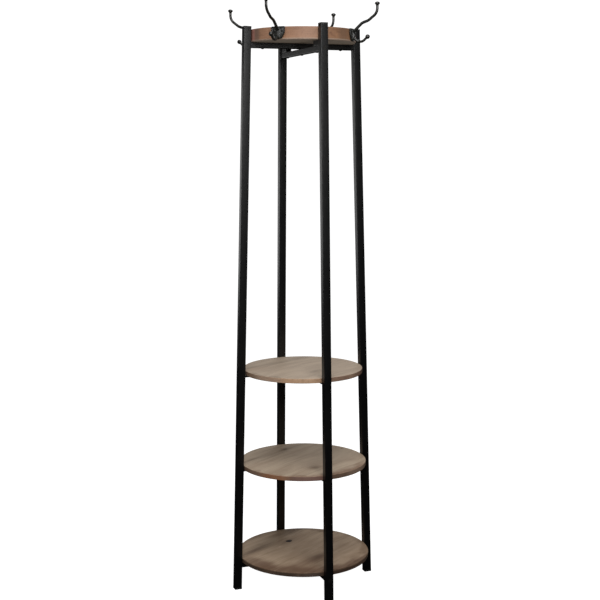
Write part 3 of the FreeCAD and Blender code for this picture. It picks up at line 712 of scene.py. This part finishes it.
def sink_knot(made, top, knot):
    """Opens a knot hole in the upper face: the mesh is made finer there and pressed down."""
    knot_x, knot_y, knot_radius, depth = knot[:4]
    centre = Vector((knot_x * MM, knot_y * MM, top))
    reach = KNOT_REACH * knot_radius * MM

    def near(vert, margin):
        return abs(vert.co.z - top) < MM and (vert.co - centre).length < reach + margin

    for margin in (6 * MM, 3 * MM, 2 * MM):
        edges = [edge for edge in made.edges if all(near(vert, margin) for vert in edge.verts)]
        bmesh.ops.subdivide_edges(made, edges=edges, cuts=1, use_grid_fill=True)
    bmesh.ops.triangulate(made, faces=[face for face in made.faces if len(face.verts) > 4])
    along, across = on_grain(knot_x, knot_y)
    for vert in made.verts:
        if not near(vert, 0.0):
            continue
        u, v = on_grain(vert.co.x / MM, vert.co.y / MM)
        du = (u - along) / (KNOT_STRETCH * knot_radius * MM)
        dv = (v - across) / (knot_radius * MM)
        distance = math.hypot(du, dv) + 0.25 * noise.noise(vert.co / (3 * MM))
        crack = max(0.0, 1 - abs(dv) / CRACK_WIDTH) * max(0.0, 1 - abs(du) / CRACK_LENGTH)
        sunk = min(1.0, max(0.0, (1.0 - distance) / KNOT_WALL))
        rough = 0.75 + 0.5 * noise.noise(vert.co / (1.2 * MM))
        vert.co.z = top - depth * MM * max(sunk * rough, CRACK_DEPTH * crack)


def make_board(node, slot, ease_top, ease_bottom):
    made = loft(board_rings(node, ease_top, ease_bottom))
    for knot in BOARDS[node]["knots"]:
        sink_knot(made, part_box(node)[1].z, knot)
    return new_piece(node + "_board", finished(made), stained_wood(node), slot, node)


# ---- hooks --------------------------------------------------------------------------------------

PRONG_SIDES = 20
PRONG_STEP = 1.5 * MM                      # longest step along an upper prong, and along a lower one
LOWER_PRONG_STEP = 1.2 * MM
UPPER_THICK = 1.1                          # an upper prong's radius at its foot and at its neck, as shares
UPPER_NECK = 0.94
LOWER_NECK = 0.86
KNOB_RIM = 0.55                            # level of a knob's widest ring, as a share of its height
KNOB_FLARE = 2.6                           # how late a knob widens
KNOB_TIP = 0.2 * MM                        # radius of the last ring at its top
KNOB_STEPS = 8                             # rings up to a knob's widest place, and as many over it
BALL_STEPS = 12                            # from a ball's neck to its tip
BALL_OPEN = 0.04                           # angle left open at its tip, in radians, for a fan to close
PLATE_STEP = 1.2 * MM
PLATE_MIDDLE = 16 * MM                     # below the plate's top, a place well inside its outline
BORDER_SOFTNESS = 0.6 * MM
FACE_RINGS = (0.06, 0.3, 0.6, 0.94, 0.99)  # shares of the way from the border to the face's middle line
FACE_CLOSING = 0.7                         # how far these rings also close in on the middle's level
RIB_FOOT = 0.9                             # level where the rib starts, as a share of the plate's thickness
RIB_RINGS = ((1.0, 0.0), (1.0, 0.5), (0.93, 0.8), (0.75, 0.96), (0.4, 1.0))     # shares: radius, height


def round_ring(centre, ahead, radius):
    """Ring of a prong about its path, which stays in the XZ plane."""
    side = Vector((0, 1, 0))
    other = ahead.cross(side)
    return [centre + (side * math.cos(a) + other * math.sin(a)) * radius
            for a in (2 * math.pi * k / PRONG_SIDES for k in range(PRONG_SIDES))]


def swept(path, radius_at):
    """Rings along a path; radius_at gives the radius at a distance from its start."""
    rings = []
    for i, (place, run) in enumerate(zip(path, runs_of(path))):
        ahead = (path[min(i + 1, len(path) - 1)] - path[max(i - 1, 0)]).normalized()
        rings.append(round_ring(place, ahead, radius_at(run)))
    return rings


def runs_of(path):
    """Distance of every point of a path from its start."""
    return [0.0, *accumulate((b - a).length for a, b in zip(path, path[1:]))]


def prong_path(route, step):
    points = [Vector((PLATE_BACK + out * MM, 0, PLATE_TOP + up * MM)) for out, up, bend in route]
    return rounded_path(points, [bend * MM for out, up, bend in route], False, step)


def upper_prong():
    """Hat prong: a rod that thins a little upwards, then flares into a knob with a domed top."""
    path = prong_path(UPPER_PRONG, PRONG_STEP)
    length = runs_of(path)[-1]
    rings = swept(path, lambda run: PRONG_RADIUS * (UPPER_THICK + (UPPER_NECK - UPPER_THICK) * run / length))
    up = Vector((0, 0, 1))
    neck = PRONG_RADIUS * UPPER_NECK
    rim_level = KNOB_RIM * KNOB_HEIGHT
    for k in range(1, KNOB_STEPS + 1):
        share = k / KNOB_STEPS
        radius = neck + (KNOB_RADIUS - neck) * share ** KNOB_FLARE
        rings.append(round_ring(path[-1] + up * rim_level * share, up, radius))
    for k in range(1, KNOB_STEPS + 1):
        angle = math.pi / 2 * k / KNOB_STEPS
        level = rim_level + (KNOB_HEIGHT - rim_level) * math.sin(angle)
        rings.append(round_ring(path[-1] + up * level, up, max(KNOB_RADIUS * math.cos(angle), KNOB_TIP)))
    return loft(rings)


def lower_prong():
    """Coat prong: a bent rod with a thinner neck under its ball."""
    path = prong_path(LOWER_PRONG, LOWER_PRONG_STEP)
    runs = runs_of(path)
    neck = PRONG_RADIUS * LOWER_NECK
    to_ball = runs[-1] - math.sqrt(BALL_RADIUS ** 2 - neck ** 2)
    shaft = [place for place, run in zip(path, runs) if run < to_ball]
    rings = swept(shaft, lambda run: PRONG_RADIUS + (neck - PRONG_RADIUS) * run / runs[-1])
    ahead = (path[-1] - path[-2]).normalized()
    start = math.asin(neck / BALL_RADIUS)
    for k in range(BALL_STEPS + 1):
        angle = start + (math.pi - BALL_OPEN - start) * k / BALL_STEPS
        centre = path[-1] - ahead * (BALL_RADIUS * math.cos(angle))
        rings.append(round_ring(centre, ahead, BALL_RADIUS * math.sin(angle)))
    return loft(rings)


def plate_loop():
    """Outline of a hook plate as points in the YZ plane, round the right way, starting at its top."""
    right = [(out, up, bend) for out, up, bend in PLATE_OUTLINE]
    left = [(-out, up, bend) for out, up, bend in reversed(PLATE_OUTLINE[:-1])]
    corners = right + left
    points = [Vector((0, out * MM, PLATE_TOP + up * MM)) for out, up, bend in corners]
    return rounded_path(points, [bend * MM for out, up, bend in corners], True, PLATE_STEP)


def inset_loop(loop, inset, height):
    """The outline moved inward and raised from the plate's back."""
    count = len(loop)
    middle = Vector((0, 0, PLATE_TOP - PLATE_MIDDLE))
    result = []
    for i, place in enumerate(loop):
        ahead = (loop[(i + 1) % count] - loop[i - 1]).normalized()
        inward = Vector((1, 0, 0)).cross(ahead)
        if inward.dot(middle - place) < 0:
            inward.negate()
        result.append(place + inward * inset + Vector((PLATE_BACK + height, 0, 0)))
    return result


def plate_shield():
    """Plate with a rounded raised border and a face that rises to its middle line."""
    loop = plate_loop()
    full = PLATE_THICKNESS + PLATE_BORDER_HEIGHT
    soft = BORDER_SOFTNESS
    levels = (                             # inset from the outline, height from the plate's back
        (0.5 * MM, 0.0),
        (0.1 * MM, 0.3 * MM),
        (0.0, 1.0 * MM),
        (0.0, full - soft),
        (0.2 * MM, full - 0.2 * MM),
        (soft, full),
        (PLATE_BORDER - soft, full),
        (PLATE_BORDER - 0.1 * MM, full - 0.3 * MM),
        (PLATE_BORDER + 0.2 * MM, PLATE_THICKNESS - 0.1 * MM),
        (PLATE_BORDER + 0.7 * MM, PLATE_THICKNESS - 0.4 * MM),
    )
    rings = [inset_loop(loop, inset, height) for inset, height in levels]
    border = rings[-1]
    level = PLATE_TOP + (UPPER_PRONG[0][1] + LOWER_PRONG[0][1]) / 2 * MM
    for share in FACE_RINGS:
        rings.append([Vector((place.x + FACE_RISE * share, place.y * (1 - share),
                              place.z + (level - place.z) * share * FACE_CLOSING)) for place in border])
    return loft(rings)


def plate_rib():
    """Upright rib behind both prongs, with round ends and a domed face."""
    foot, head = LOWER_PRONG[0][1] * MM, UPPER_PRONG[0][1] * MM
    angles = [math.pi * k / PRONG_SIDES for k in range(2 * PRONG_SIDES)]
    rings = []
    for share, height in RIB_RINGS:
        out = PLATE_BACK + PLATE_THICKNESS * RIB_FOOT + BOSS_HEIGHT * height
        radius = BOSS_RADIUS * share
        ring = []
        for a in angles:
            level = PLATE_TOP + (head if math.sin(a) >= 0 else foot)
            ring.append(Vector((out, radius * math.cos(a), level + radius * math.sin(a))))
        rings.append(ring)
    return loft(rings)


def hook_plate():
    """Cast shield with the rib that its prongs stand on."""
    return joined(plate_shield(), plate_rib())


def make_hooks(material):
    for corner in HOOKS:
        low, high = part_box("hook_plate_" + corner)
        middle = (low + high) / 2
        turn = Matrix.Rotation(math.atan2(middle.y - AXIS.y, middle.x - AXIS.x), 4, "Z")
        for part, made in (("plate", hook_plate()), ("upper_prong", upper_prong()),
                           ("lower_prong", lower_prong())):
            node = f"hook_{part}_{corner}"
            new_piece("cast_" + node, finished(made, turn), material, "hook_iron", node)


# ---- stage and light ----------------------------------------------------------------------------

FLOOR_REACH = 6.0                          # radius of the level part of the studio floor
COVE_RADIUS = 3.0                          # bend from the floor up into the dome
DOME = ((8.0, 8.0), (4.0, 10.5), (0.01, 11.0))  # its rings: distance from the axis, height over the floor
STAGE_SIDES = 96
STAGE_GLOW = 0.97                          # what the floor and the dome show of their own light
AMBIENT = 0.22                             # even light from all round
AMBIENT_IN_GLOSS = 0.01                    # what a glossy surface shows of it

LIGHTS = (        # name, azimuth, distance, height, width, tall, radiance, height aimed at, spread
    ("key_front", 10, 2.2, 1.86, 1.3, 0.7, 3.9, 1.5, 130),
    ("panel_left", 61.5, 2.3, 1.86, 0.6, 0.6, 3.0, 1.6, 180),
    ("panel_back_left", 160, 2.2, 1.15, 0.9, 1.0, 1.4, 1.15, 180),
    ("top_front", 15, 1.3, 3.1, 1.4, 1.4, 4.9, 0.6, 180),
    ("panel_right", 247, 2.3, 1.86, 0.6, 0.6, 1.4, 1.6, 180),
    ("back_high", 205, 2.2, 2.5, 1.2, 1.2, 2.2, 0.8, 180),
)


def make_stage():
    """Pale studio floor that curves up into a dome. It shows behind the object and adds no light to it."""
    profile = [(0.001, 0.0), (1.0, 0.0), (2.5, 0.0), (4.0, 0.0), (FLOOR_REACH, 0.0)]
    for k in range(1, 13):
        angle = math.pi / 2 * k / 12
        profile.append((FLOOR_REACH + COVE_RADIUS * math.sin(angle), COVE_RADIUS * (1 - math.cos(angle))))
    profile += DOME
    angles = [2 * math.pi * k / STAGE_SIDES for k in range(STAGE_SIDES)]
    centre = Vector((AXIS.x, AXIS.y, FLOOR))
    rings = [[centre + Vector((distance * math.cos(a), distance * math.sin(a), height)) for a in angles]
             for distance, height in profile]
    mesh = finished(loft(rings))
    studio = bpy.data.objects.new("studio", mesh)
    bpy.context.collection.objects.link(studio)
    for polygon in mesh.polygons:
        polygon.use_smooth = True
    material, tree, shader, place = new_material("studio_white")
    paper = grain(tree, place, 30.0, detail=3.0)
    tree.links.new(mixed(tree, paper, (0.5, 0.5, 0.5, 1), (0.52, 0.52, 0.52, 1)), shader.inputs["Base Color"])
    shader.inputs["Roughness"].default_value = 0.9
    shader.inputs["Emission Color"].default_value = (1, 1, 1, 1)
    shader.inputs["Emission Strength"].default_value = STAGE_GLOW
    material.cycles.emission_sampling = "NONE"
    mesh.materials.append(material)
    studio.visible_diffuse = False
    studio.visible_glossy = False
    studio.visible_shadow = False


def soft_light(name, azimuth, distance, height, width, tall, radiance, aim, spread):
    """Area light that points at the axis: azimuth 0 is in front of the front leg, 90 at the left."""
    data = bpy.data.lights.new(name, "AREA")
    data.shape = "RECTANGLE"
    data.size = width
    data.size_y = tall
    data.energy = radiance * math.pi * width * tall
    data.spread = math.radians(spread)
    lamp = bpy.data.objects.new(name, data)
    bpy.context.collection.objects.link(lamp)
    angle = math.radians(azimuth)
    foot = Vector((AXIS.x, AXIS.y, FLOOR))
    lamp.location = foot + Vector((-distance * math.sin(angle), -distance * math.cos(angle), height))
    to_aim = foot + Vector((0, 0, aim)) - lamp.location
    lamp.rotation_mode = "QUATERNION"
    lamp.rotation_quaternion = to_aim.to_track_quat("-Z", "Y")


def make_lights():
    for light in LIGHTS:
        soft_light(*light)
    world = bpy.data.worlds.new("world")
    world.use_nodes = True
    tree = world.node_tree
    glossy = add(tree, "ShaderNodeLightPath").outputs["Is Glossy Ray"]
    strength = calc(tree, "MULTIPLY_ADD", glossy, AMBIENT_IN_GLOSS - AMBIENT, AMBIENT)
    background = tree.nodes["Background"]
    background.inputs["Color"].default_value = (1, 1, 1, 1)
    tree.links.new(strength, background.inputs["Strength"])
    bpy.context.scene.world = world
    bpy.context.scene.view_settings.view_transform = "Standard"


# ---- the object ---------------------------------------------------------------------------------

def dress_cad_nodes():
    """Gives every CAD node that stays visible its material."""
    coat_leg = powder_coat("powder_coat_legs", leg=True)
    coat = powder_coat("powder_coat")
    plastic = moulded_plastic("black_plastic")
    black = plain_metal("black_oxide_steel", srgb(26, 25, 24), srgb(52, 50, 47), 0.6, 0.35)
    zinc = plain_metal("zinc_steel", srgb(130, 130, 128), srgb(176, 176, 172), 1.0, 0.25)
    by_slot = {"frame_steel": coat, "plastic_black": plastic, "fastener_black": black, "nut_steel": zinc}
    for entry in frame["record"]["subparts"]:
        node = frame["nodes"][entry["node"]]
        material = by_slot.get(entry["material_slot"])
        if material is None:
            continue
        if entry["node"].startswith("leg_") and material is coat:
            material = coat_leg
        node.data.materials.clear()
        node.data.materials.append(material)


def make_boards():
    for node in SHELVES:
        make_board(node, "wood_shelf", EDGE_EASE, EDGE_EASE)
    make_board("top_disc", "wood_top", EDGE_EASE, DISC_EASE_BELOW)


make_camera()
make_stage()
make_lights()
dress_cad_nodes()
make_boards()
make_hooks(enamelled_iron("enamelled_iron"))
